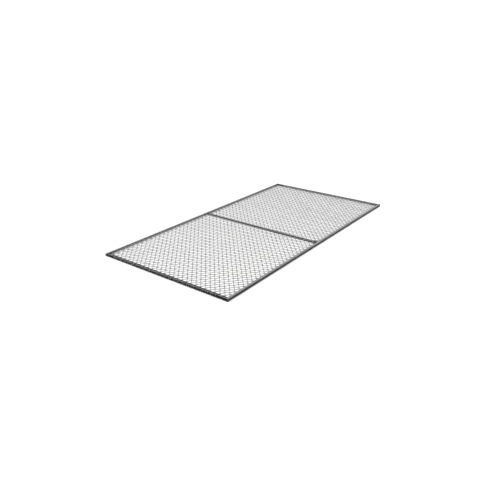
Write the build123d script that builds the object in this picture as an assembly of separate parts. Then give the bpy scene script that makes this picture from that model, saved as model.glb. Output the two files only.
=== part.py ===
from build123d import *
import math
import os

# Queen excluder: a steel-framed diamond mesh that worker bees pass and the queen can't.
# Four folded channel rails face inward and grip the edges of the mesh. A flat crossbar
# under the mesh stiffens the middle. X runs along the length, Y across the width and Z up,
# and the origin is the middle of the underside. Lengths are millimetres.

# Driving sizes
length = 376.0  # over the outer faces of the end rails
width = 190.0  # over the outer faces of the side rails
rail_depth = 2.6  # flange width, from the outer face to the lip
sheet = 0.8  # rail sheet thickness
bend_radius = 0.5  # outside of the two folds
wire_diameter = 0.7
wire_gap = 4.36  # clear slot between neighbouring wires of one lay
lay_angle = 40.3  # degrees between a wire and X
strip_thickness = 0.8  # packing strips, and the crossbar's ends where they lie on a flange
crossbar_width = 3.9
crossbar_thickness = 1.4
tongue_length = 6.0  # the front rail's top flange reaches this far over the crossbar
key_arm = 14.0  # length of each arm of a corner key
tip_proud = 0.2  # wire ends stand this far out of the end rails

# Fasteners
shank_radius = 0.5
flush_head_radius = 0.8
flush_head_depth = 0.35

# Clearances
fit = 0.03  # all round a shank, and between parts that slide together
butt_gap = 0.1  # between the ends of parts in one line
hole_clearance = 0.06  # all round a wire where it passes an end rail
recess = 0.02  # flush rivets lie this far below the faces

# Levels
mesh_thickness = 2 * wire_diameter
mesh_bottom = sheet + strip_thickness
mesh_top = mesh_bottom + mesh_thickness
crossbar_bottom = mesh_bottom - crossbar_thickness
rail_height = mesh_top + sheet
channel_height = mesh_top - sheet
lower_lay_z = mesh_bottom + wire_diameter / 2
upper_lay_z = mesh_top - wire_diameter / 2

# Places in plan, for the positive quarter
half_length = length / 2
half_width = width / 2
web_x = half_length - sheet
web_y = half_width - sheet
lip_x = half_length - rail_depth
lip_y = half_width - rail_depth
channel_mid_x = (web_x + lip_x) / 2
channel_mid_y = (web_y + lip_y) / 2
key_end_x = web_x - key_arm
key_end_y = web_y - key_arm


def even_and_a_half(span, step):
    """The number of steps in span, as an even whole number and a half."""
    return 2 * round((span / step - 0.5) / 2) + 0.5


# The diamonds fit the frame, so that the two lays meet the end rails turn about, and the
# crossbar's end rivets stand clear of the wires in the middle of a diamond.
pitch = wire_gap + wire_diameter
span_x = length - sheet
span_y = width - sheet
diamond_x = span_x / even_and_a_half(span_x, pitch / math.sin(math.radians(lay_angle)))
diamond_y = span_y / even_and_a_half(span_y, pitch / math.cos(math.radians(lay_angle)))
wire_run = Vector(diamond_x, diamond_y, 0).normalized()
real_pitch = diamond_x * diamond_y / math.hypot(diamond_x, diamond_y)

corners = [(-1, -1), (1, -1), (1, 1), (-1, 1)]


def block(x0, x1, y0, y1, z0, z1):
    """A box between two corners."""
    middle = ((x0 + x1) / 2, (y0 + y1) / 2, (z0 + z1) / 2)
    return Pos(*middle) * Box(abs(x1 - x0), abs(y1 - y0), abs(z1 - z0))


def upright(radius, bottom, top):
    """A vertical cylinder on the Z axis."""
    return Pos(0, 0, (bottom + top) / 2) * Cylinder(radius, top - bottom)


def channel(run):
    """A folded channel along X with its web at -Y. Its outer face is the plane Y = 0."""
    outline = Rectangle(rail_depth, rail_height, align=(Align.MIN, Align.MIN))
    folds = outline.vertices().sort_by(Axis.X)[:2]
    outline = fillet(folds, bend_radius)
    slot_depth = rail_depth - sheet
    slot = Pos(sheet, sheet) * Rectangle(slot_depth, channel_height, align=(Align.MIN, Align.MIN))
    section = Plane.YZ * (outline - slot)
    return Pos(-run / 2, 0, 0) * extrude(section, run)


def countersink(grow=0.0):
    """A rivet's flat-topped head, upside down, with its face at Z = 0."""
    head = Cone(flush_head_radius + grow, shank_radius + grow, flush_head_depth)
    return Pos(0, 0, flush_head_depth / 2) * head


def flush_rivet():
    """A rivet through both flanges with a countersunk head at each face."""
    shape = upright(shank_radius, recess, rail_height - recess)
    shape += Pos(0, 0, recess) * countersink()
    return shape + Pos(0, 0, rail_height - recess) * Rot(180, 0, 0) * countersink()


def head_hole():
    """The clear space round a countersunk head, open past its face."""
    return upright(flush_head_radius + fit, -1, 0) + countersink(fit)


def flush_rivet_hole():
    """The clear space round a flush rivet, open at both faces."""
    shape = upright(shank_radius + fit, 0, rail_height)
    shape += Pos(0, 0, recess) * head_hole()
    return shape + Pos(0, 0, rail_height - recess) * Rot(180, 0, 0) * head_hole()


def corner_rivet_places(side_x, side_y):
    """Both rivets of one corner: in the side rail, then in the end rail."""
    reach = 2 / 3 * key_arm
    return [
        (side_x * (web_x - reach), side_y * channel_mid_y),
        (side_x * channel_mid_x, side_y * (web_y - reach)),
    ]


def mesh_room():
    """The space that the wires may fill. It ends at the side rails' webs and the corner keys."""
    reach_x = half_length + tip_proud
    reach_y = web_y - butt_gap
    room = block(-reach_x, reach_x, -reach_y, reach_y, 0, rail_height)
    past_x = reach_x + 1
    past_y = reach_y + 1
    arms = [(lip_x, key_end_y), (key_end_x, lip_y)]
    for side_x, side_y in corners:
        for arm_x, arm_y in arms:
            near_x = side_x * (arm_x - butt_gap)
            near_y = side_y * (arm_y - butt_gap)
            room -= block(near_x, side_x * past_x, near_y, side_y * past_y, -1, rail_height + 1)
    return room


def lay_lines(slope):
    """The middle of each wire of one lay and half its length. slope is 1 or -1, the sign of dy/dx."""
    reach_x = half_length + tip_proud
    reach_y = web_y - butt_gap
    most = reach_x / diamond_x + reach_y / diamond_y
    lines = []
    for step in range(-math.ceil(most), math.ceil(most)):
        offset = (step + 0.5) * diamond_y  # where the wire crosses the Y axis
        ends = sorted((slope * (side * reach_y - offset) * diamond_x / diamond_y) for side in (-1, 1))
        start = max(ends[0], -reach_x)
        stop = min(ends[1], reach_x)
        if stop - start < diamond_x:
            continue
        middle = (start + stop) / 2
        half_run = (stop - start) / 2 / wire_run.X
        lines.append((middle, offset + slope * middle * diamond_y / diamond_x, half_run))
    return lines


def wire_lay(slope, z):
    """One lay of straight parallel wires, trimmed to the frame."""
    turn = slope * math.degrees(math.atan2(diamond_y, diamond_x))
    room = mesh_room()
    wires = []
    for x, y, half_run in lay_lines(slope):
        rod = Cylinder(wire_diameter / 2, 2 * (half_run + 2 * wire_diameter))
        placed = Pos(x, y, z) * Rot(0, 0, turn) * Rot(0, 90, 0) * rod
        wires += [wire for wire in (placed & room).solids() if wire.volume > wire_diameter**3]
    return Compound(children=wires)


def side_rail(side):
    """The front rail for side -1, the back rail for side 1."""
    rail = Pos(0, -half_width, 0) * channel(length)
    if side > 0:
        rail = Rot(0, 0, 180) * rail
    else:
        half = crossbar_width / 2
        rail += block(-half, half, -lip_y, -lip_y + tongue_length, mesh_top, rail_height)
    holes = [(0, side * channel_mid_y)]
    holes += [corner_rivet_places(side_x, side)[0] for side_x in (-1, 1)]
    for x, y in holes:
        rail -= Pos(x, y, 0) * flush_rivet_hole()
    return rail


def end_rail(side):
    """The left rail for side -1, the right rail for side 1, between the side rails."""
    rail = Rot(0, 0, -90) * Pos(0, -half_length, 0) * channel(2 * (lip_y - butt_gap))
    if side > 0:
        rail = Rot(0, 0, 180) * rail
    for side_y in (-1, 1):
        x, y = corner_rivet_places(side, side_y)[1]
        rail -= Pos(x, y, 0) * flush_rivet_hole()
    # Each wire that reaches the web passes it through a hole of its own.
    hole_radius = wire_diameter / 2 + hole_clearance
    middle_x = side * (half_length - sheet / 2)
    for slope, z in ((1, lower_lay_z), (-1, upper_lay_z)):
        turn = slope * math.degrees(math.atan2(diamond_y, diamond_x))
        for x, y, _ in lay_lines(slope):
            crossing = y + slope * (middle_x - x) * diamond_y / diamond_x
            if abs(crossing) < key_end_y - butt_gap - wire_diameter:
                drill = Cylinder(hole_radius, 4 * sheet)
                rail -= Pos(middle_x, crossing, z) * Rot(0, 0, turn) * Rot(0, 90, 0) * drill
    return rail


def corner_key(side_x, side_y):
    """An L that fills the channels of two rails and holds them square."""
    low = sheet + fit / 2
    high = mesh_top - fit / 2
    outer_x = side_x * (web_x - fit)
    outer_y = side_y * (web_y - fit)
    key = block(side_x * lip_x, outer_x, side_y * key_end_y, outer_y, low, high)
    key += block(side_x * key_end_x, outer_x, side_y * lip_y, outer_y, low, high)
    for x, y in corner_rivet_places(side_x, side_y):
        key -= Pos(x, y, 0) * upright(shank_radius + fit, 0, rail_height)
    return key


def side_strip(side_x, side_y):
    """Half of the strip that presses the mesh up against a side rail's top flange."""
    inner = crossbar_width / 2 + butt_gap
    outer = key_end_x - butt_gap
    return block(side_x * inner, side_x * outer, side_y * lip_y, side_y * (web_y - fit), sheet, mesh_bottom)


def end_strip(side):
    """The strip that presses the mesh up against an end rail's top flange."""
    outer = key_end_y - butt_gap
    return block(side * lip_x, side * (web_x - fit), -outer, outer, sheet, mesh_bottom)


def crossbar():
    """A flat bar under the mesh. Its ends are thinner and lie on the side rails' lower flanges."""
    half = crossbar_width / 2
    reach = web_y - fit
    inner = lip_y - butt_gap
    bar = block(-half, half, -reach, reach, sheet, mesh_bottom)
    bar += block(-half, half, -inner, inner, crossbar_bottom, mesh_bottom)
    for y in (-channel_mid_y, channel_mid_y):
        bar -= Pos(0, y, 0) * upright(shank_radius + fit, 0, rail_height)
    return bar


def group(shape, places):
    """Copies of one fastener as separate solids."""
    return Compound(children=[Pos(x, y, 0) * shape for x, y in places])


parts = {
    "side_rail_front": side_rail(-1),
    "side_rail_back": side_rail(1),
    "end_rail_left": end_rail(-1),
    "end_rail_right": end_rail(1),
    "crossbar": crossbar(),
    "mesh_wires_rising": wire_lay(1, lower_lay_z),
    "mesh_wires_falling": wire_lay(-1, upper_lay_z),
    "retaining_strip_end_left": end_strip(-1),
    "retaining_strip_end_right": end_strip(1),
    "crossbar_end_rivets": group(flush_rivet(), [(0, -channel_mid_y), (0, channel_mid_y)]),
}
names_x = {-1: "left", 1: "right"}
names_y = {-1: "front", 1: "back"}
for side_x, side_y in corners:
    place = f"{names_y[side_y]}_{names_x[side_x]}"
    parts[f"corner_key_{place}"] = corner_key(side_x, side_y)
    parts[f"corner_rivets_{place}"] = group(flush_rivet(), corner_rivet_places(side_x, side_y))
    parts[f"retaining_strip_{place}"] = side_strip(side_x, side_y)

os.makedirs("parts", exist_ok=True)
for name, shape in parts.items():
    export_step(shape, f"parts/{name}.step")
print(f"diamond {diamond_x:.3f} x {diamond_y:.3f}, gap {real_pitch - wire_diameter:.3f}")
print(f"frame {length} x {width} x {rail_height:.2f}, parts {len(parts)}")
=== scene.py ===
import bpy
import bmesh
import math
from mathutils import Matrix, Vector


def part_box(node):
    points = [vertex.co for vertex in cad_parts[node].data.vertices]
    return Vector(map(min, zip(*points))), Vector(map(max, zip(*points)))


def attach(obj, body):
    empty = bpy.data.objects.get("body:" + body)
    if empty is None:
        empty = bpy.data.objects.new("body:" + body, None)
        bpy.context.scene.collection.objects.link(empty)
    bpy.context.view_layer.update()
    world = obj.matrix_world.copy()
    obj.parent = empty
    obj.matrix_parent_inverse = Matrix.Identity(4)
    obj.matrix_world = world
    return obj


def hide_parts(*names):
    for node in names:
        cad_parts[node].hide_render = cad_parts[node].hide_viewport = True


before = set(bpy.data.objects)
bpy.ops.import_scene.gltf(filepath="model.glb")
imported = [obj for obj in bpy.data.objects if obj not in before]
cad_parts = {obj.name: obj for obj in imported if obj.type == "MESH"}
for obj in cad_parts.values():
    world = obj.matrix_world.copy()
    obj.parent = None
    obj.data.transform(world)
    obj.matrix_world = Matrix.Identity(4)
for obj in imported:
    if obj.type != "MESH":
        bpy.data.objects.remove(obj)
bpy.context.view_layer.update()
mm = 0.001

# The panel's own measures, read from the frame. Everything below is placed from these.
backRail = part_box("side_rail_back")
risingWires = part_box("mesh_wires_rising")
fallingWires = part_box("mesh_wires_falling")
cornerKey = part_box("corner_key_back_right")
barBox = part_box("crossbar")
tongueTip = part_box("side_rail_front")[1].y

halfLength = backRail[1].x
halfWidth = backRail[1].y
railHeight = backRail[1].z
railDepth = backRail[1].y - backRail[0].y
wireRadius = (risingWires[1].z - risingWires[0].z) / 2
meshMiddle = risingWires[1].z
meshTop = fallingWires[1].z
sheet = railHeight - meshTop
wireReachX = risingWires[1].x
wireReachY = risingWires[1].y
lipX = halfLength - railDepth
lipY = halfWidth - railDepth


def main():
    makeCamera()
    makeStudio()
    print("camera, floor and lights are set")
    finishes = makeFinishes()
    print("finishes are mixed")
    makeMesh(finishes)
    print("both lays of wire are woven")
    makeRails(finishes)
    print("rails are folded")
    makeCrossbar(finishes)
    print("crossbar is laid under the mesh")
    makeFasteners(finishes)
    print("rivets and wire ends are set")
    finishHidden(finishes)
    print("keys and strips have their finish")


# Camera and studio

cameraView = {
    "place": (-0.5488, -0.3859, 0.2597),
    "yaw": 37.067,  # degrees from +X towards +Y
    "down": 22.755,  # degrees below level
    "lens": 38.75,
    "sensor": 36.0,
    "nearest": 0.01,
}


def makeCamera():
    data = bpy.data.cameras.new("viewCamera")
    data.sensor_fit = "HORIZONTAL"
    data.sensor_width = cameraView["sensor"]
    data.lens = cameraView["lens"]
    data.clip_start = cameraView["nearest"]
    camera = bpy.data.objects.new("viewCamera", data)
    bpy.context.scene.collection.objects.link(camera)
    camera.location = cameraView["place"]
    tilt = math.radians(90 - cameraView["down"])
    camera.rotation_euler = (tilt, 0, math.radians(cameraView["yaw"] - 90))
    bpy.context.scene.camera = camera


studio = {
    "floorHalf": 9.0,
    "floorLevel": -0.02 * mm,  # a hair below the panel, so that the two don't share a face
    "floorColour": (0.93, 0.93, 0.93, 1),
    "floorRoughness": 0.9,
    "skyColour": (1, 1, 1, 1),
    "skyStrength": 1.15,
    "lampPlace": (0.35, 0.55, 1.5),  # above and behind the panel
    "lampSize": 1.6,
    "lampPower": 16,
}


def makeStudio():
    mesh = bpy.data.meshes.new("floor")
    h, z = studio["floorHalf"], studio["floorLevel"]
    mesh.from_pydata([(-h, -h, z), (h, -h, z), (h, h, z), (-h, h, z)], [], [(0, 1, 2, 3)])
    floor = bpy.data.objects.new("floor", mesh)
    bpy.context.scene.collection.objects.link(floor)
    paint = bpy.data.materials.new("floorPaint")
    paint.use_nodes = True
    tree = paint.node_tree
    shader = tree.nodes["Principled BSDF"]
    shader.inputs["Base Color"].default_value = studio["floorColour"]
    shader.inputs["Roughness"].default_value = studio["floorRoughness"]
    # clear from below, so that the panel's underside can be looked at
    below = addNode(tree, "ShaderNodeNewGeometry").outputs["Backfacing"]
    clear = addNode(tree, "ShaderNodeBsdfTransparent").outputs[0]
    oneSided = addNode(tree, "ShaderNodeMixShader", {0: below, 1: shader.outputs[0], 2: clear})
    tree.links.new(oneSided.outputs[0], tree.nodes["Material Output"].inputs["Surface"])
    mesh.materials.append(paint)

    world = bpy.data.worlds.new("softRoom")
    bpy.context.scene.world = world
    world.use_nodes = True
    sky = world.node_tree.nodes["Background"]
    sky.inputs["Color"].default_value = studio["skyColour"]
    sky.inputs["Strength"].default_value = studio["skyStrength"]

    data = bpy.data.lights.new("softBox", "AREA")
    data.size = studio["lampSize"]
    data.energy = studio["lampPower"]
    lamp = bpy.data.objects.new("softBox", data)
    bpy.context.scene.collection.objects.link(lamp)
    lamp.location = studio["lampPlace"]
    lamp.rotation_euler = (-lamp.location).to_track_quat("-Z", "Y").to_euler()
    bpy.context.scene.view_settings.view_transform = "Standard"


# Node helpers

def feed(tree, socket, value):
    # another node's socket is linked, anything else is set
    if isinstance(value, bpy.types.NodeSocket):
        tree.links.new(value, socket)
    else:
        socket.default_value = value


def addNode(tree, kind, inputs=None, **settings):
    node = tree.nodes.new(kind)
    for name, value in settings.items():
        setattr(node, name, value)
    for name, value in (inputs or {}).items():
        feed(tree, node.inputs[name], value)
    return node


def mathNode(tree, operation, *values, clamp=False):
    inputs = dict(enumerate(values))
    return addNode(tree, "ShaderNodeMath", inputs, operation=operation, use_clamp=clamp).outputs[0]


# Shader node groups that the finishes share

noises = {
    "patches": {"Detail": 4.0, "Roughness": 0.6},
    "grit": {"Detail": 3.0, "Roughness": 0.7},
    "lines": {"Detail": 5.0, "Roughness": 0.65},
    "wear": {"Detail": 5.0, "Roughness": 0.7},
}
wearCurve = {"gain": 2.6, "start": -0.55}  # how rub times noise turns into bare metal
seamGain = 9.0


def openShaderGroup(name, inputs, outputs):
    group = bpy.data.node_groups.new(name, "ShaderNodeTree")
    for label, kind, value in inputs:
        socket = group.interface.new_socket(label, in_out="INPUT", socket_type="NodeSocket" + kind)
        socket.default_value = value
    for label, kind in outputs:
        group.interface.new_socket(label, in_out="OUTPUT", socket_type="NodeSocket" + kind)
    return group, group.nodes.new("NodeGroupInput"), group.nodes.new("NodeGroupOutput")


def addNoise(tree, name, place, scale):
    inputs = {"Vector": place, "Scale": scale, **noises[name]}
    return addNode(tree, "ShaderNodeTexNoise", inputs).outputs["Fac"]


def makeCloudGroup():
    # soft patches and fine grit, both 0 to 1, on the panel's own coordinates
    group, given, out = openShaderGroup(
        "patchesAndGrit",
        [("Patch Scale", "Float", 60.0), ("Grit Scale", "Float", 2500.0), ("Contrast", "Float", 1.6)],
        [("Patches", "Float"), ("Grit", "Float")],
    )
    place = addNode(group, "ShaderNodeTexCoord").outputs["Object"]
    patches = addNoise(group, "patches", place, given.outputs["Patch Scale"])
    centred = mathNode(group, "SUBTRACT", patches, 0.5)
    spread = mathNode(group, "MULTIPLY_ADD", centred, given.outputs["Contrast"], 0.5, clamp=True)
    grit = addNoise(group, "grit", place, given.outputs["Grit Scale"])
    group.links.new(spread, out.inputs["Patches"])
    group.links.new(grit, out.inputs["Grit"])
    return group


def makeRollingGroup():
    # long fine lines that the mill leaves along a strip
    group, given, out = openShaderGroup(
        "rollingLines",
        [("Stretch", "Vector", (1.0, 1.0, 1.0)), ("Scale", "Float", 900.0)],
        [("Lines", "Float")],
    )
    place = addNode(group, "ShaderNodeTexCoord").outputs["Object"]
    squeezed = addNode(
        group, "ShaderNodeVectorMath", {0: place, 1: given.outputs["Stretch"]}, operation="MULTIPLY"
    )
    lines = addNoise(group, "lines", squeezed.outputs[0], given.outputs["Scale"])
    group.links.new(lines, out.inputs["Lines"])
    return group


def makeWearGroup():
    # breaks the rub on folds and lips into uneven stretches
    group, given, out = openShaderGroup(
        "rubbedEdges",
        [("Rub", "Float", 0.0), ("Scale", "Float", 260.0), ("Amount", "Float", 1.0)],
        [("Bare", "Float")],
    )
    place = addNode(group, "ShaderNodeTexCoord").outputs["Object"]
    noise = addNoise(group, "wear", place, given.outputs["Scale"])
    rubbed = mathNode(group, "MULTIPLY", given.outputs["Rub"], noise)
    curved = mathNode(group, "MULTIPLY_ADD", rubbed, wearCurve["gain"], wearCurve["start"], clamp=True)
    bare = mathNode(group, "MULTIPLY", curved, given.outputs["Amount"], clamp=True)
    group.links.new(bare, out.inputs["Bare"])
    return group


def makeSpangleGroup():
    # zinc crystals: a tone for each and a fine line where they meet
    group, given, out = openShaderGroup(
        "zincSpangle",
        [("Scale", "Float", 900.0)],
        [("Tone", "Float"), ("Seams", "Float")],
    )
    place = addNode(group, "ShaderNodeTexCoord").outputs["Object"]
    cells = addNode(group, "ShaderNodeTexVoronoi", {"Vector": place, "Scale": given.outputs["Scale"]})
    tone = addNode(group, "ShaderNodeSeparateColor", {"Color": cells.outputs["Color"]})
    edges = addNode(
        group, "ShaderNodeTexVoronoi", {"Vector": place, "Scale": given.outputs["Scale"]},
        feature="DISTANCE_TO_EDGE",
    )
    seams = mathNode(group, "MULTIPLY", edges.outputs["Distance"], seamGain, clamp=True)
    group.links.new(tone.outputs[0], out.inputs["Tone"])
    group.links.new(seams, out.inputs["Seams"])
    return group


# Finishes

def openMaterial(name, metallic):
    material = bpy.data.materials.new(name)
    material.use_nodes = True
    tree = material.node_tree
    shader = tree.nodes["Principled BSDF"]
    shader.inputs["Metallic"].default_value = metallic
    return material, tree, shader


def placeGroup(tree, group, inputs):
    return addNode(tree, "ShaderNodeGroup", inputs, node_tree=group)


def mixColour(tree, share, first, second):
    first, second = ((*colour, 1) if isinstance(colour, tuple) else colour for colour in (first, second))
    return addNode(tree, "ShaderNodeMix", {0: share, 6: first, 7: second}, data_type="RGBA").outputs[2]


def ramp(tree, value, low, high):
    # moves 0 to 1 onto low to high
    node = addNode(tree, "ShaderNodeMapRange", {"Value": value, "To Min": low, "To Max": high})
    return node.outputs["Result"]


bumpStrength = 0.6


def addBump(tree, shader, heights):
    # heights is a list of (socket, depth in metres), small ones last
    normal = None
    for height, depth in heights:
        inputs = {"Height": height, "Strength": bumpStrength, "Distance": depth}
        if normal:
            inputs["Normal"] = normal
        normal = addNode(tree, "ShaderNodeBump", inputs).outputs["Normal"]
    tree.links.new(normal, shader.inputs["Normal"])


railFinish = {
    "scale": (0.03, 0.03, 0.032),  # mill scale on the webs, painted darker as shade on the faces turned from the light
    "scalePale": (0.075, 0.075, 0.08),
    "flange": (0.17, 0.17, 0.172),  # painted light: the top face is painted paler than the webs, as the light falls on it from above
    "flangePale": (0.27, 0.27, 0.27),
    "bare": (0.42, 0.42, 0.42),
    "roughLow": 0.4,
    "roughHigh": 0.66,
    "cloud": {"Patch Scale": 90.0, "Grit Scale": 3000.0, "Contrast": 2.2},
    "lineScale": 2200.0,
    "lineSqueeze": 0.03,  # along the rail, which draws the lines out
    "wearScale": 420.0,
    "patchDepth": 0.04 * mm,
    "lineDepth": 0.012 * mm,
    "gritDepth": 0.01 * mm,
}
# Painted light and shade: each rail gets its own copy of one steel, and the table says how pale each one's
# scale is inside and outside the channel, and how pale its top face. The near front and left rails are
# painted dark as shade, and the back and right rails are painted paler inside the channel as light.
railPaintedShade = {
    "front": {
        "inside": 0.7, "outside": 0.7, "flange": 0.85,
        "metallic": 0.5, "specular": 0.25, "wear": 0.85, "chips": 0.2,
    },
    "back": {
        "inside": 5.0, "outside": 0.8, "flange": 2.1,
        "metallic": 0.4, "specular": 0.25, "wear": 0.85, "chips": 0.2,
    },
    "left": {
        "inside": 0.1, "outside": 0.1, "flange": 0.1,
        "metallic": 0.1, "specular": 0.08, "wear": 0.85, "chips": 0.41,
    },
    "right": {
        "inside": 6.0, "outside": 0.6, "flange": 1.8,
        "metallic": 0.4, "specular": 0.25, "wear": 1.0, "chips": 0.4,
    },
}


# mixes one rail's painted shade or light: a finish colour scaled by that rail's factor
def mixPaintedRailShade(tree, share, name, factor):
    dark, pale = (tuple(factor * part for part in railFinish[key]) for key in (name, name + "Pale"))
    return mixColour(tree, share, dark, pale)


def makeRailFinish(groups, side):
    tone = railPaintedShade[side]
    material, tree, shader = openMaterial(side + "RailSteelWithPaintedShade", tone["metallic"])
    shader.inputs["Specular IOR Level"].default_value = tone["specular"]
    cloud = placeGroup(tree, groups["cloud"], railFinish["cloud"])
    squeeze = railFinish["lineSqueeze"]
    stretch = (squeeze, 1.0, 1.0) if side in ("front", "back") else (1.0, squeeze, 1.0)
    rolling = placeGroup(tree, groups["rolling"], {"Stretch": stretch, "Scale": railFinish["lineScale"]})
    rub, upper, outer = (
        addNode(tree, "ShaderNodeAttribute", attribute_name=name).outputs["Fac"]
        for name in ("rub", "upper", "outer")
    )
    rub = mathNode(tree, "MAXIMUM", rub, tone["chips"])
    wear = placeGroup(
        tree, groups["wear"], {"Rub": rub, "Scale": railFinish["wearScale"], "Amount": tone["wear"]}
    )
    # painted shade and light: the webs take the table's dark tones and the top face its pale one
    inside = mixPaintedRailShade(tree, cloud.outputs["Patches"], "scale", tone["inside"])
    outside = mixPaintedRailShade(tree, cloud.outputs["Patches"], "scale", tone["outside"])
    face = mixPaintedRailShade(tree, rolling.outputs["Lines"], "flange", tone["flange"])
    paintedShadeWeb = mixColour(tree, outer, inside, outside)
    colour = mixColour(tree, upper, paintedShadeWeb, face)
    colour = mixColour(tree, wear.outputs["Bare"], colour, railFinish["bare"])
    tree.links.new(colour, shader.inputs["Base Color"])
    rough = ramp(tree, cloud.outputs["Grit"], railFinish["roughLow"], railFinish["roughHigh"])
    tree.links.new(rough, shader.inputs["Roughness"])
    addBump(tree, shader, [
        (cloud.outputs["Patches"], railFinish["patchDepth"]),
        (rolling.outputs["Lines"], railFinish["lineDepth"]),
        (cloud.outputs["Grit"], railFinish["gritDepth"]),
    ])
    return material


barFinish = {
    "blued": (0.011, 0.012, 0.019),
    "bluedPale": (0.028, 0.031, 0.043),
    "bare": (0.16, 0.168, 0.185),
    "roughLow": 0.38,
    "roughHigh": 0.62,
    "metallic": 0.15,
    "specular": 0.08,
    "cloud": {"Patch Scale": 140.0, "Grit Scale": 3400.0, "Contrast": 2.4},
    "rolling": {"Stretch": (1.0, 0.03, 1.0), "Scale": 2400.0},
    "wear": {"Scale": 380.0, "Amount": 0.7},
    "lineDepth": 0.015 * mm,
    "gritDepth": 0.01 * mm,
}


def makeBarFinish(groups):
    material, tree, shader = openMaterial("bluedStrip", barFinish["metallic"])
    shader.inputs["Specular IOR Level"].default_value = barFinish["specular"]
    cloud = placeGroup(tree, groups["cloud"], barFinish["cloud"])
    rolling = placeGroup(tree, groups["rolling"], barFinish["rolling"])
    rub = addNode(tree, "ShaderNodeAttribute", attribute_name="rub").outputs["Fac"]
    wear = placeGroup(tree, groups["wear"], {"Rub": rub, **barFinish["wear"]})
    colour = mixColour(tree, cloud.outputs["Patches"], barFinish["blued"], barFinish["bluedPale"])
    colour = mixColour(tree, wear.outputs["Bare"], colour, barFinish["bare"])
    tree.links.new(colour, shader.inputs["Base Color"])
    rough = ramp(tree, rolling.outputs["Lines"], barFinish["roughLow"], barFinish["roughHigh"])
    tree.links.new(rough, shader.inputs["Roughness"])
    addBump(tree, shader, [
        (rolling.outputs["Lines"], barFinish["lineDepth"]),
        (cloud.outputs["Grit"], barFinish["gritDepth"]),
    ])
    return material


zincFinish = {
    "wire": {"dark": (0.18, 0.183, 0.18), "pale": (0.3, 0.303, 0.3), "metallic": 0.55, "scale": 900.0},
    "stub": {"dark": (0.01, 0.01, 0.011), "pale": (0.7, 0.7, 0.71), "metallic": 0.15, "scale": 200.0},
    "rivet": {"dark": (0.26, 0.26, 0.265), "pale": (0.46, 0.46, 0.47), "metallic": 0.75, "scale": 1400.0},
    # the retaining strips are painted paler, as light against the shade inside the channels
    "strip": {"dark": (0.26, 0.26, 0.265), "pale": (0.42, 0.42, 0.425), "metallic": 0.4, "scale": 500.0},
    "key": {"dark": (0.012, 0.012, 0.013), "pale": (0.03, 0.03, 0.032), "metallic": 0.4, "scale": 500.0},
}
zincCoat = {
    "cloud": {"Patch Scale": 45.0, "Grit Scale": 4200.0, "Contrast": 1.8},
    "dust": 0.45,  # the most that a dusty patch hides
    "dustTone": 0.72,  # of the dark crystals
    "roughLow": 0.34,
    "roughHigh": 0.6,
    "seamDepth": 0.008 * mm,
    "gritDepth": 0.008 * mm,
}


def makeZincFinish(groups, name):
    values = zincFinish[name]
    material, tree, shader = openMaterial(name + "Zinc", values["metallic"])
    spangle = placeGroup(tree, groups["spangle"], {"Scale": values["scale"]})
    cloud = placeGroup(tree, groups["cloud"], zincCoat["cloud"])
    colour = mixColour(tree, spangle.outputs["Tone"], values["dark"], values["pale"])
    dusty = tuple(zincCoat["dustTone"] * part for part in values["dark"])
    colour = mixColour(tree, ramp(tree, cloud.outputs["Patches"], zincCoat["dust"], 0.0), colour, dusty)
    tree.links.new(colour, shader.inputs["Base Color"])
    rough = ramp(tree, spangle.outputs["Tone"], zincCoat["roughLow"], zincCoat["roughHigh"])
    tree.links.new(rough, shader.inputs["Roughness"])
    addBump(tree, shader, [
        (spangle.outputs["Seams"], zincCoat["seamDepth"]),
        (cloud.outputs["Grit"], zincCoat["gritDepth"]),
    ])
    return material


def makeFinishes():
    groups = {
        "cloud": makeCloudGroup(),
        "rolling": makeRollingGroup(),
        "wear": makeWearGroup(),
        "spangle": makeSpangleGroup(),
    }
    finishes = {name: makeZincFinish(groups, name) for name in zincFinish}
    for side in railPaintedShade:
        finishes[side + "Rail"] = makeRailFinish(groups, side)
    finishes["bar"] = makeBarFinish(groups)
    return finishes


# Geometry node helpers

def openGeometryTree(name, inputs):
    tree = bpy.data.node_groups.new(name, "GeometryNodeTree")
    tree.interface.new_socket("Geometry", in_out="INPUT", socket_type="NodeSocketGeometry")
    for label, kind in inputs:
        tree.interface.new_socket(label, in_out="INPUT", socket_type="NodeSocket" + kind)
    tree.interface.new_socket("Geometry", in_out="OUTPUT", socket_type="NodeSocketGeometry")
    return tree, tree.nodes.new("NodeGroupInput").outputs, tree.nodes.new("NodeGroupOutput").inputs


def growPiece(name, seedMesh, tree, values):
    # runs the tree once and keeps only the plain mesh that it makes
    seedObject = bpy.data.objects.new(name + "Seed", seedMesh)
    modifier = seedObject.modifiers.new("grow", "NODES")
    modifier.node_group = tree
    for item in tree.interface.items_tree:
        if item.item_type == "SOCKET" and item.in_out == "INPUT" and item.name in values:
            modifier[item.identifier] = values[item.name]
    bpy.context.scene.collection.objects.link(seedObject)
    depsgraph = bpy.context.evaluated_depsgraph_get()
    mesh = bpy.data.meshes.new_from_object(seedObject.evaluated_get(depsgraph), depsgraph=depsgraph)
    bpy.data.objects.remove(seedObject)
    return linkPiece(name, mesh)


def linkPiece(name, mesh):
    turnOutwards(mesh)
    mesh.name = name
    piece = bpy.data.objects.new(name, mesh)
    bpy.context.scene.collection.objects.link(piece)
    return piece


def turnOutwards(mesh):
    # a closed shape whose faces point inwards has a negative volume
    work = bmesh.new()
    work.from_mesh(mesh)
    if work.calc_volume(signed=True) < 0:
        bmesh.ops.reverse_faces(work, faces=work.faces)
    work.to_mesh(mesh)
    work.free()


# The woven mesh

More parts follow.
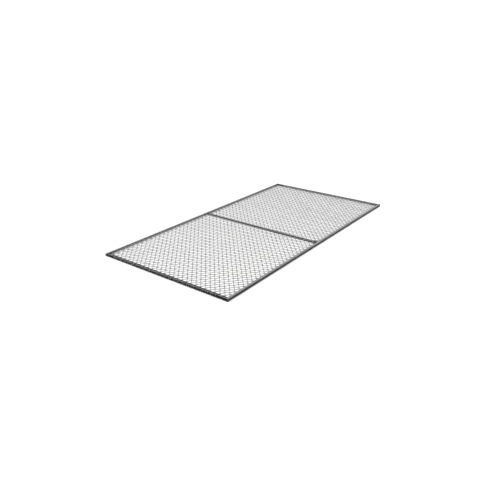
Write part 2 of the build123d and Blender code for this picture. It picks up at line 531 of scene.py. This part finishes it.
weave = {
    "diamondsAlong": 48.5,  # between the middles of the end rails' sheet
    "diamondsAcross": 28.5,
    "bendsPerDiamond": 8,  # straight steps along one full wave of a wire
    "wireSides": 8,
    "stray": 0.05 * mm,  # how far a wire may lie from its true place
    "keyGap": 0.1 * mm,  # kept between a cut wire and a corner key
    "shortest": 8 * mm,  # anything shorter is left out
    "seed": 4,
}
diamondX = (2 * halfLength - sheet) / weave["diamondsAlong"]
diamondY = (2 * halfWidth - sheet) / weave["diamondsAcross"]


def wireRuns(slope):
    # where each wire of one lay crosses the Y axis, and the x of its two ends
    slant = slope * diamondY / diamondX
    keyX, keyY = cornerKey[0].x, cornerKey[0].y
    count = math.ceil(wireReachX / diamondX + wireReachY / diamondY)
    runs = []
    for step in range(-count, count):
        offset = (step + 0.5) * diamondY
        ends = []
        for side in (-1, 1):
            x = side * wireReachX
            if abs(offset + slant * x) > keyY:
                x = side * (lipX - weave["keyGap"])
            edge = (math.copysign(wireReachY, slant * side) - offset) / slant
            if abs(edge) > keyX:
                edge = (math.copysign(lipY - weave["keyGap"], slant * side) - offset) / slant
            ends.append(min(x, edge) if side > 0 else max(x, edge))
        if ends[1] - ends[0] > weave["shortest"]:
            runs.append((offset, *ends))
    return runs


def wireSeeds(name, slope):
    runs = wireRuns(slope)
    mesh = bpy.data.meshes.new(name + "Seeds")
    mesh.from_pydata([(0, offset, 0) for offset, _, _ in runs], [], [])
    for label, place in (("startX", 1), ("stopX", 2)):
        attribute = mesh.attributes.new(label, "FLOAT", "POINT")
        attribute.data.foreach_set("value", [run[place] for run in runs])
    return mesh


def makeWeaveTree():
    tree, given, out = openGeometryTree("weaveLay", [
        ("Wire Radius", "Float"), ("Middle", "Float"), ("Crimp", "Float"), ("Slant", "Float"),
        ("Diamond Length", "Float"), ("Crimp Reach", "Float"), ("Step", "Float"), ("Steps", "Int"),
        ("Sides", "Int"), ("Stray", "Float"), ("Seed", "Int"), ("Finish", "Material"),
    ])
    step = given["Step"]
    count = mathNode(tree, "MULTIPLY_ADD", given["Steps"], 2.0, 1.0)
    farEnd = mathNode(tree, "MULTIPLY", mathNode(tree, "MULTIPLY", given["Steps"], step), -1.0)
    lineStart = addNode(tree, "ShaderNodeCombineXYZ", {"X": farEnd}).outputs[0]
    lineStep = addNode(tree, "ShaderNodeCombineXYZ", {"X": step}).outputs[0]
    line = addNode(
        tree, "GeometryNodeMeshLine", {"Count": count, "Start Location": lineStart, "Offset": lineStep}
    )
    # each wire strays a little to one side
    stray = addNode(
        tree, "FunctionNodeRandomValue", {"Seed": given["Seed"]}, data_type="FLOAT"
    )
    floats = [socket for socket in stray.inputs if socket.type == "VALUE"]
    tree.links.new(mathNode(tree, "MULTIPLY", given["Stray"], -1.0), floats[0])
    tree.links.new(given["Stray"], floats[1])
    strayValue = [socket for socket in stray.outputs if socket.type == "VALUE"][0]
    aside = addNode(tree, "ShaderNodeCombineXYZ", {"Y": strayValue}).outputs[0]
    seeds = addNode(tree, "GeometryNodeSetPosition", {"Geometry": given["Geometry"], "Offset": aside})
    lay = addNode(
        tree, "GeometryNodeInstanceOnPoints",
        {"Points": seeds.outputs[0], "Instance": line.outputs[0]},
    )
    lines = addNode(tree, "GeometryNodeRealizeInstances", {"Geometry": lay.outputs[0]}).outputs[0]
    # cut each line to its own wire
    place = addNode(tree, "GeometryNodeInputPosition").outputs[0]
    parts = addNode(tree, "ShaderNodeSeparateXYZ", {0: place}).outputs
    startNode = addNode(tree, "GeometryNodeInputNamedAttribute", {"Name": "startX"}, data_type="FLOAT")
    stopNode = addNode(tree, "GeometryNodeInputNamedAttribute", {"Name": "stopX"}, data_type="FLOAT")
    startX = startNode.outputs["Attribute"]
    stopX = stopNode.outputs["Attribute"]
    before = mathNode(tree, "LESS_THAN", parts["X"], mathNode(tree, "SUBTRACT", startX, step))
    after = mathNode(tree, "GREATER_THAN", parts["X"], mathNode(tree, "ADD", stopX, step))
    outside = mathNode(tree, "ADD", before, after, clamp=True)
    cut = addNode(
        tree, "GeometryNodeDeleteGeometry", {"Geometry": lines, "Selection": outside}, domain="POINT"
    )
    x = mathNode(tree, "MINIMUM", mathNode(tree, "MAXIMUM", parts["X"], startX), stopX)
    y = mathNode(tree, "MULTIPLY_ADD", x, given["Slant"], parts["Y"])
    # over and under: one full wave for each diamond, level past the last crossing
    reach = given["Crimp Reach"]
    waveX = mathNode(tree, "MAXIMUM", x, mathNode(tree, "MULTIPLY", reach, -1.0))
    waveX = mathNode(tree, "MINIMUM", waveX, reach)
    turn = mathNode(tree, "DIVIDE", mathNode(tree, "MULTIPLY", waveX, 2 * math.pi), given["Diamond Length"])
    wave = mathNode(tree, "COSINE", turn)
    z = mathNode(tree, "MULTIPLY_ADD", wave, given["Crimp"], given["Middle"])
    spot = addNode(tree, "ShaderNodeCombineXYZ", {"X": x, "Y": y, "Z": z}).outputs[0]
    bent = addNode(tree, "GeometryNodeSetPosition", {"Geometry": cut.outputs[0], "Position": spot})
    curve = addNode(tree, "GeometryNodeMeshToCurve", {"Mesh": bent.outputs[0]})
    ring = addNode(
        tree, "GeometryNodeCurvePrimitiveCircle",
        {"Resolution": given["Sides"], "Radius": given["Wire Radius"]},
    )
    swept = addNode(
        tree, "GeometryNodeCurveToMesh",
        {"Curve": curve.outputs[0], "Profile Curve": ring.outputs[0], "Fill Caps": True},
    )
    smooth = addNode(tree, "GeometryNodeSetShadeSmooth", {"Geometry": swept.outputs[0]})
    solid = addNode(tree, "GeometryNodeRealizeInstances", {"Geometry": smooth.outputs[0]})
    coated = addNode(
        tree, "GeometryNodeSetMaterial", {"Geometry": solid.outputs[0], "Material": given["Finish"]}
    )
    tree.links.new(coated.outputs[0], out["Geometry"])
    return tree


def makeMesh(finishes):
    tree = makeWeaveTree()
    step = diamondX / weave["bendsPerDiamond"]
    lays = (("risingWires", 1, "mesh_wires_rising"), ("fallingWires", -1, "mesh_wires_falling"))
    for name, slope, node in lays:
        piece = growPiece(name, wireSeeds(name, slope), tree, {
            "Wire Radius": wireRadius,
            "Middle": meshMiddle,
            "Crimp": -slope * wireRadius,
            "Slant": slope * diamondY / diamondX,
            "Diamond Length": diamondX,
            "Crimp Reach": math.floor(weave["diamondsAlong"] / 2) * diamondX,
            "Step": step,
            "Steps": math.ceil(wireReachX / step) + 1,
            "Sides": weave["wireSides"],
            "Stray": weave["stray"],
            "Seed": weave["seed"] + slope,
            "Finish": finishes["wire"],
        })
        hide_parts(node)
        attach(piece, "root")


# Swept pieces: rails and crossbar

foldRub = {"least": 0.25, "most": 1.0}  # where a rounded corner begins, and in its middle
sweptCrease = math.radians(40)  # sharper edges than this are not smoothed
turnedCrease = math.radians(50)


def roundCorner(before, corner, after, radius, steps):
    # points of the arc that rounds one corner of an outline
    inward = (before - corner).normalized()
    outward = (after - corner).normalized()
    halfTurn = inward.angle(outward) / 2
    run = radius / math.tan(halfTurn)
    centre = corner + (inward + outward).normalized() * (radius / math.sin(halfTurn))
    first = corner + inward * run - centre
    last = corner + outward * run - centre
    sweep = first.angle_signed(last)
    return [centre + Matrix.Rotation(-sweep * i / steps, 2) @ first for i in range(steps + 1)]


def outlineRing(corners, flatStep):
    # corners holds (across, up, radius, steps); gives ring points with how rubbed each one is
    ring = []
    count = len(corners)
    arcs = []
    for i, (across, up, radius, steps) in enumerate(corners):
        before = Vector(corners[i - 1][:2])
        after = Vector(corners[(i + 1) % count][:2])
        arcs.append(roundCorner(before, Vector((across, up)), after, radius, steps))
    least = foldRub["least"]
    for i, arc in enumerate(arcs):
        for j, point in enumerate(arc):
            bulge = math.sin(math.pi * j / (len(arc) - 1))
            ring.append((point.x, point.y, bulge * (foldRub["most"] - least) + least))
        follow = arcs[(i + 1) % count][0]
        gap = (follow - arc[-1]).length
        pieces = max(1, round(gap / flatStep))
        for j in range(1, pieces):
            point = arc[-1].lerp(follow, j / pieces)
            ring.append((point.x, point.y, 0.0))
    return ring


def sweepRings(name, rings, masks, material):
    # rings are equal lists of points; the first and last are closed
    mesh = bpy.data.meshes.new(name)
    size = len(rings[0])
    points = [point for ring in rings for point in ring]
    faces = []
    for i in range(len(rings) - 1):
        for j in range(size):
            k = (j + 1) % size
            faces.append((i * size + j, i * size + k, (i + 1) * size + k, (i + 1) * size + j))
    last = (len(rings) - 1) * size
    faces.append(tuple(range(size)))
    faces.append(tuple(last + j for j in reversed(range(size))))
    mesh.from_pydata(points, [], faces)
    for label, values in masks.items():
        attribute = mesh.attributes.new(label, "FLOAT", "POINT")
        attribute.data.foreach_set("value", values)
    mesh.materials.append(material)
    for polygon in mesh.polygons:
        polygon.use_smooth = len(polygon.vertices) == 4
    mesh.set_sharp_from_angle(angle=sweptCrease)
    return linkPiece(name, mesh)


rail = {
    "foldRadius": 0.5 * mm,
    "foldSteps": 6,
    "innerRadius": 0.12 * mm,
    "lipRadius": 0.1 * mm,
    "smallSteps": 3,  # for the inner corners and the lips
    "flatStep": 0.3 * mm,
    "faceStart": 0.6,  # share of the fold and of the sheet at which a face begins
    "sideStep": 1.9 * mm,  # between stations along a side rail
    "endStep": 0.36 * mm,
    "endRub": 0.3,
    "endGap": 0.1 * mm,
}
# how a lip wanders from straight
wander = {"reach": 0.035 * mm, "slow": 47, "quick": 131, "quickShare": 0.6, "phaseStep": 1.7}
tongue = {
    "fillet": 0.5 * mm,
    "filletShares": (0.0, 0.01, 0.06, 0.14, 0.28, 0.5, 0.75, 1.0),
    "station": 0.5 * mm,
    "root": 0.8,  # share of the flange that keeps its place
    "depth": 1.05,  # in sheets, down from the top
}
# nips that press the top flange onto the mesh
dent = {"depth": 0.13 * mm, "radius": 0.75 * mm, "place": 0.55, "rub": 0.5, "faceDepth": 0.02 * mm}


def channelOutline():
    d, h, t = railDepth, railHeight, sheet
    fold, steps, few = rail["foldRadius"], rail["foldSteps"], rail["smallSteps"]
    inner, lip = rail["innerRadius"], rail["lipRadius"]
    corners = [
        (d, 0, lip, few), (0, 0, fold, steps), (0, h, fold, steps), (d, h, lip, few),
        (d, h - t, lip, few), (t, h - t, inner, few), (t, t, inner, few), (d, t, lip, few),
    ]
    return outlineRing(corners, rail["flatStep"])


def lipWander(along, phase):
    share = wander["quickShare"]
    wave = math.sin(along * wander["slow"] + phase) + share * math.sin(along * wander["quick"] + 2 * phase)
    return wander["reach"] * wave / (1 + share)


def makeRail(name, stations, outline, place, material, phase, shape):
    # shape may move a point (along, across, up) and rub it; place then sets it on the panel
    rings = []
    masks = {"rub": [], "upper": [], "outer": []}
    faceAcross = rail["faceStart"] * rail["foldRadius"]
    faceUp = railHeight - rail["faceStart"] * sheet
    for index, along in enumerate(stations):
        atEnd = index in (0, len(stations) - 1)
        ring = []
        for across, up, rub in outline:
            a, d, z, extra = shape(along, across, up)
            d += lipWander(along, phase) * (across / railDepth) ** 2
            ring.append(place(a, d, z))
            masks["rub"].append(rail["endRub"] if atEnd else min(1.0, rub + extra))
            # upper marks the top face, which takes painted light; outer marks the outer web, which takes
            # painted shade
            masks["upper"].append(float(up > faceUp and across > faceAcross))
            masks["outer"].append(float(across < faceAcross or up < rail["lipRadius"]))
        rings.append(ring)
    return sweepRings(name, rings, masks, material)


def evenStations(low, high, step):
    count = max(2, round((high - low) / step))
    return [low + (high - low) * i / count for i in range(count + 1)]


def tongueShape(along, across, up):
    # the front rail's top flange reaches out over the crossbar
    past = abs(along) - barBox[1].x
    fillet = tongue["fillet"]
    root = railDepth * tongue["root"]
    share = min(1.0, max(0.0, (across - root) / (railDepth - root)))
    reach = 0.0
    if up >= railHeight - tongue["depth"] * sheet:
        if past <= 0:
            reach = tongueTip + lipY
        elif past < fillet:
            reach = fillet - math.sqrt(fillet**2 - (fillet - past) ** 2)
    return along, across + reach * share, up, 0.0


def plainShape(along, across, up):
    return along, across, up, 0.0


def dentShape(along, across, up):
    # one nip for each diamond
    nearest = round(along / diamondY) * diamondY
    away = math.hypot(along - nearest, across - railDepth * dent["place"]) / dent["radius"]
    if up < railHeight - dent["faceDepth"] or away >= 1:
        return along, across, up, 0.0
    drop = (math.cos(math.pi * away) + 1) / 2
    return along, across, up - dent["depth"] * drop, dent["rub"] * (1 - abs(2 * drop - 1))


def makeRails(finishes):
    outline = channelOutline()
    barHalf = barBox[1].x
    fillet = tongue["fillet"]
    side = evenStations(-halfLength, halfLength, rail["sideStep"])
    near = [x for x in side if abs(x) > barHalf + fillet]
    around = [barHalf + fillet * share for share in tongue["filletShares"]]
    middle = evenStations(-barHalf, barHalf, tongue["station"])
    tongued = sorted(set(near + [-x for x in around[1:]] + around[1:] + middle))
    end = evenStations(-(lipY - rail["endGap"]), lipY - rail["endGap"], rail["endStep"])
    rows = [
        ("frontRail", "side_rail_front", tongued, tongueShape, lambda a, d, z: (a, d - halfWidth, z)),
        ("backRail", "side_rail_back", side, plainShape, lambda a, d, z: (a, halfWidth - d, z)),
        ("leftRail", "end_rail_left", end, dentShape, lambda a, d, z: (d - halfLength, a, z)),
        ("rightRail", "end_rail_right", end, dentShape, lambda a, d, z: (halfLength - d, a, z)),
    ]
    for index, (name, node, stations, shape, place) in enumerate(rows):
        phase = index * wander["phaseStep"]
        piece = makeRail(name, stations, outline, place, finishes[name], phase, shape)
        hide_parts(node)
        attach(piece, "root")


bar = {
    "cornerRadius": 0.22 * mm,
    "cornerSteps": 4,
    "flatStep": 1.1,  # in half widths
    "stepRadius": 0.15 * mm,
    "stepShare": 0.3,  # of that radius, where the step's one middle point lies
    "station": 1.2 * mm,
}


def makeCrossbar(finishes):
    half, reach, top = barBox[1]
    bottom = barBox[0].z
    step = lipY - rail["endGap"]
    radius, turns, soft = bar["cornerRadius"], bar["cornerSteps"], bar["stepRadius"]
    inset = bar["stepShare"] * soft
    # the underside of the bar at each y: deep between the rails, raised onto their flanges
    body = [(y, bottom) for y in evenStations(soft - step, step - soft, bar["station"])]
    lap = [(step - inset, bottom + inset), (step, bottom + soft)]
    lap += [(y, sheet) for y in evenStations(step, reach, bar["station"])]
    stations = [(-y, low) for y, low in reversed(lap)] + body + lap
    rings, rubs = [], []
    for y, low in stations:
        thick = top - low
        places = ((half, 0), (-half, 0), (-half, thick), (half, thick))
        outline = outlineRing([(*place, radius, turns) for place in places], bar["flatStep"] * half)
        rings.append([(across, y, low + up) for across, up, _ in outline])
        rubs += [rub for _, _, rub in outline]
    piece = sweepRings("crossbarStrip", rings, {"rub": rubs}, finishes["bar"])
    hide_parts("crossbar")
    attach(piece, "root")


# Rivets and wire ends

def latheMesh(name, profile, sides):
    # profile is (radius, height) from the bottom of the axis to the top
    mesh = bpy.data.meshes.new(name)
    points, faces, rings = [], [], []
    for radius, height in profile:
        if radius == 0:
            rings.append([len(points)])
            points.append((0, 0, height))
            continue
        ring = []
        for i in range(sides):
            angle = 2 * math.pi * i / sides
            ring.append(len(points))
            points.append((radius * math.cos(angle), radius * math.sin(angle), height))
        rings.append(ring)
    for low, high in zip(rings, rings[1:]):
        for i in range(sides):
            k = (i + 1) % sides
            if len(low) == 1:
                faces.append((low[0], high[k], high[i]))
            elif len(high) == 1:
                faces.append((low[i], low[k], high[0]))
            else:
                faces.append((low[i], low[k], high[k], high[i]))
    mesh.from_pydata(points, [], faces)
    turnOutwards(mesh)
    for polygon in mesh.polygons:
        polygon.use_smooth = True
    mesh.set_sharp_from_angle(angle=turnedCrease)
    return mesh


def makeStrewTree():
    tree, given, out = openGeometryTree("setOnPoints", [
        ("Piece", "Object"), ("Facing", "Rotation"), ("Size Spread", "Float"), ("Seed", "Int"),
        ("Finish", "Material"),
    ])
    source = addNode(tree, "GeometryNodeObjectInfo", {"Object": given["Piece"], "As Instance": True})
    laid = addNode(
        tree, "GeometryNodeInstanceOnPoints",
        {"Points": given["Geometry"], "Instance": source.outputs["Geometry"], "Rotation": given["Facing"]},
    )
    spin = addNode(tree, "FunctionNodeRandomValue", {"Seed": given["Seed"]}, data_type="FLOAT_VECTOR")
    spin.inputs[1].default_value = (0, 0, 2 * math.pi)
    turned = addNode(
        tree, "GeometryNodeRotateInstances",
        {"Instances": laid.outputs[0], "Rotation": spin.outputs[0], "Local Space": True},
    )
    size = addNode(tree, "FunctionNodeRandomValue", {"Seed": given["Seed"]}, data_type="FLOAT")
    floats = [socket for socket in size.inputs if socket.type == "VALUE"]
    tree.links.new(mathNode(tree, "SUBTRACT", 1.0, given["Size Spread"]), floats[0])
    tree.links.new(mathNode(tree, "ADD", 1.0, given["Size Spread"]), floats[1])
    sizeValue = [socket for socket in size.outputs if socket.type == "VALUE"][0]
    wide = addNode(tree, "ShaderNodeCombineXYZ", {"X": sizeValue, "Y": sizeValue, "Z": 1.0})
    sized = addNode(
        tree, "GeometryNodeScaleInstances",
        {"Instances": turned.outputs[0], "Scale": wide.outputs[0], "Local Space": True},
    )
    solid = addNode(tree, "GeometryNodeRealizeInstances", {"Geometry": sized.outputs[0]})
    coated = addNode(
        tree, "GeometryNodeSetMaterial", {"Geometry": solid.outputs[0], "Material": given["Finish"]}
    )
    tree.links.new(coated.outputs[0], out["Geometry"])
    return tree


def strew(tree, name, places, shape, facing, spread, seed, finish, node=None):
    # one piece made of copies of shape at places
    pattern = bpy.data.objects.new(name + "Pattern", shape)
    bpy.context.scene.collection.objects.link(pattern)
    seeds = bpy.data.meshes.new(name + "Places")
    seeds.from_pydata(places, [], [])
    piece = growPiece(name, seeds, tree, {
        "Piece": pattern, "Facing": facing, "Size Spread": spread, "Seed": seed, "Finish": finish,
    })
    bpy.data.objects.remove(pattern)
    if node:
        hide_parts(node)
    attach(piece, "root")


weldDistance = 0.001 * mm


def solidCentres(node):
    # the middle of each separate solid of a CAD node, at the height of the panel's underside
    work = bmesh.new()
    work.from_mesh(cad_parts[node].data)
    bmesh.ops.remove_doubles(work, verts=work.verts, dist=weldDistance)
    left = set(work.verts)
    centres = []
    while left:
        patch, queue = set(), [left.pop()]
        while queue:
            vertex = queue.pop()
            patch.add(vertex)
            for edge in vertex.link_edges:
                other = edge.other_vert(vertex)
                if other in left:
                    left.discard(other)
                    queue.append(other)
        xs = [vertex.co.x for vertex in patch]
        ys = [vertex.co.y for vertex in patch]
        centres.append(((min(xs) + max(xs)) / 2, (min(ys) + max(ys)) / 2, 0.0))
    work.free()
    return sorted(centres)


rivet = {
    "headRadius": 0.8 * mm,
    "shankRadius": 0.5 * mm,
    "headDepth": 0.35 * mm,
    "crown": 0.05 * mm,  # height of the hammered crown over the face
    "rim": (0.97, 0.25),  # shares of the head's radius and of the crown
    "dome": (0.6, 0.8),
    "footRise": 0.1,  # share of the head's depth that rounds the lower head
    "sides": 24,
    "spread": 0.02,
    "barSeed": 9,
}
wireEnd = {
    "foot": 0.5 * mm,  # radius of the hammered end where it meets the rail
    "face": 0.3 * mm,
    "height": 0.2 * mm,
    "sunk": -0.5,  # shares of the height
    "flank": 0.25,
    "shoulder": (0.86, 0.7),  # shares of the foot and of the height
    "rim": 0.96,
    "middle": 0.9,
    "sides": 9,
    "spread": 0.22,
    "seed": 20,
}


def flushRivetProfile():
    r, s, deep, crown = rivet["headRadius"], rivet["shankRadius"], rivet["headDepth"], rivet["crown"]
    (rimWide, rimHigh), (domeWide, domeHigh) = rivet["rim"], rivet["dome"]
    bottom = [(0, 0), (rimWide * r, 0), (r, rivet["footRise"] * deep), (s, deep)]
    top = [
        (s, railHeight - deep), (r, railHeight), (rimWide * r, railHeight + rimHigh * crown),
        (domeWide * r, railHeight + domeHigh * crown), (0, railHeight + crown),
    ]
    return bottom + top


def wireEndProfile():
    foot, height = wireEnd["foot"], wireEnd["height"]
    shoulderWide, shoulderHigh = wireEnd["shoulder"]
    return [
        (0, wireEnd["sunk"] * height), (foot, wireEnd["sunk"] * height), (foot, wireEnd["flank"] * height),
        (shoulderWide * foot, shoulderHigh * height), (wireEnd["face"], wireEnd["rim"] * height),
        (0, wireEnd["middle"] * height),
    ]


def wireEndPlaces(side):
    places = []
    keyY = cornerKey[0].y
    x = side * halfLength
    for slope, level in ((1, meshMiddle - wireRadius), (-1, meshMiddle + wireRadius)):
        slant = slope * diamondY / diamondX
        for offset, startX, stopX in wireRuns(slope):
            y = offset + slant * x
            reached = stopX if side > 0 else -startX
            if reached > halfLength and abs(y) < keyY:
                places.append((x, y, level))
    return places


def makeFasteners(finishes):
    tree = makeStrewTree()
    upright = (0, 0, 0)
    flush = latheMesh("flushRivet", flushRivetProfile(), rivet["sides"])
    corners = [(along, across) for along in ("front", "back") for across in ("left", "right")]
    rows = [
        (seed, f"corner_rivets_{along}_{across}", "cornerRivets" + along.title() + across.title())
        for seed, (along, across) in enumerate(corners)
    ]
    rows.append((rivet["barSeed"], "crossbar_end_rivets", "crossbarEndRivets"))
    for seed, node, name in rows:
        strew(
            tree, name, solidCentres(node), flush, upright, rivet["spread"], seed,
            finishes["rivet"], node,
        )
    blunt = latheMesh("wireEnd", wireEndProfile(), wireEnd["sides"])
    for name, side in (("wireEndsLeft", -1), ("wireEndsRight", 1)):
        facing = (0, side * math.pi / 2, 0)
        strew(
            tree, name, wireEndPlaces(side), blunt, facing, wireEnd["spread"], wireEnd["seed"] + side,
            finishes["stub"],
        )


def finishHidden(finishes):
    for node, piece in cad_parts.items():
        if node.startswith("corner_key"):
            finish = finishes["key"]
        elif node.startswith("retaining_strip"):
            finish = finishes["strip"]
        else:
            continue
        piece.data.materials.clear()
        piece.data.materials.append(finish)


main()
